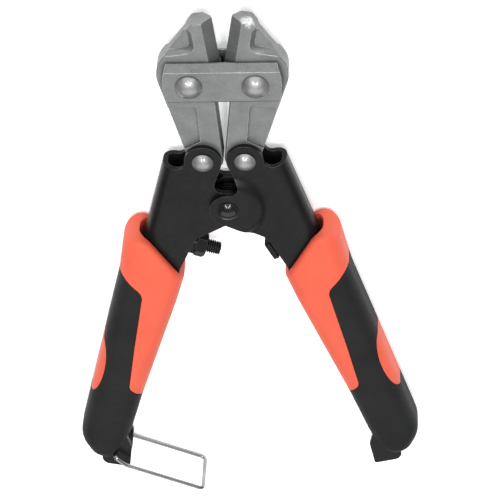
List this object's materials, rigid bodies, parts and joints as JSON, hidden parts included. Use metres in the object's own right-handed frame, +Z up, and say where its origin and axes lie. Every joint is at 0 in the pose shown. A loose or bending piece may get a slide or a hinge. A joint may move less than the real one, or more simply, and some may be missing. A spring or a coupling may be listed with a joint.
{
  "type": "bolt cutters",
  "caption": "Compact compound-action bolt cutters with forged jaws on link plates, pressed black arms, two-tone moulded grips and a wire latch bail at the handle end.",
  "frame": {"origin": "middle of the footprint, on the surface the tool lies on", "axes": "+Y from the handles to the jaws, +Z up through the front link plate, +X to the handle without the bail"},
  "size_m": [0.1264, 0.214, 0.018],
  "materials": {
    "jaw_steel": "shot-blasted forged steel",
    "rivet_steel": "bright turned steel",
    "black_coat": "satin black powder coat",
    "black_oxide": "black oxide",
    "wire": "zinc-plated wire",
    "orange_grip": "coral orange moulded plastic",
    "black_grip": "soft matte black overmould"
  },
  "bodies": {
    "left_handle": {"arm_left": "black_coat", "jaw_pin_left": "rivet_steel", "pivot_rivet": "black_oxide", "pivot_bush": "rivet_steel", "return_spring": "black_oxide", "stop_screw": "black_oxide", "stop_nut": "black_oxide", "grip_core_left": "orange_grip", "grip_cover_left": "black_grip"},
    "right_handle": {"arm_right": "black_coat", "jaw_pin_right": "rivet_steel", "grip_core_right": "orange_grip", "grip_cover_right": "black_grip"},
    "left_jaw": {"jaw_left": "jaw_steel"},
    "right_jaw": {"jaw_right": "jaw_steel"},
    "link": {"link_plate_front": "jaw_steel", "link_plate_back": "jaw_steel", "link_rivet_left": "rivet_steel", "link_rivet_right": "rivet_steel"},
    "bail": {"latch_bail": "wire"}
  },
  "joints": [
    {"name": "handles", "type": "hinge", "parent": "left_handle", "child": "right_handle", "pos_m": [-0.00213, 0.03108, 0.009], "axis": [0, 0, -1], "range_deg": [0, 27.93], "stiffness_Nm_per_rad": 0.085, "springref_deg": -20.05, "deforming": ["return_spring"]},
    {"name": "left_jaw_pin", "type": "hinge", "parent": "left_handle", "child": "left_jaw", "pos_m": [-0.00964, 0.0508, 0.009], "axis": [0, 0, -1], "range_deg": [0, 18.85]},
    {"name": "right_jaw_pin", "type": "hinge", "parent": "right_handle", "child": "right_jaw", "pos_m": [0.00459, 0.05108, 0.009], "axis": [0, 0, 1], "range_deg": [0, 25.28]},
    {"name": "link_pin", "type": "hinge", "parent": "left_jaw", "child": "link", "pos_m": [-0.01224, 0.08321, 0.009], "axis": [0, 0, 1], "range_deg": [0, 6]},
    {"name": "bail_swing", "type": "hinge", "parent": "left_handle", "child": "bail", "pos_m": [-0.0513, -0.08893, 0.009], "axis": [0, 0, 1], "range_deg": [-35, 40]}
  ],
  "couplings": [
    {"joint": "left_jaw_pin", "follows": "handles", "ratio": 0.67481},
    {"joint": "right_jaw_pin", "follows": "handles", "ratio": 0.9052},
    {"joint": "link_pin", "follows": "handles", "ratio": 0.21482}
  ]
}
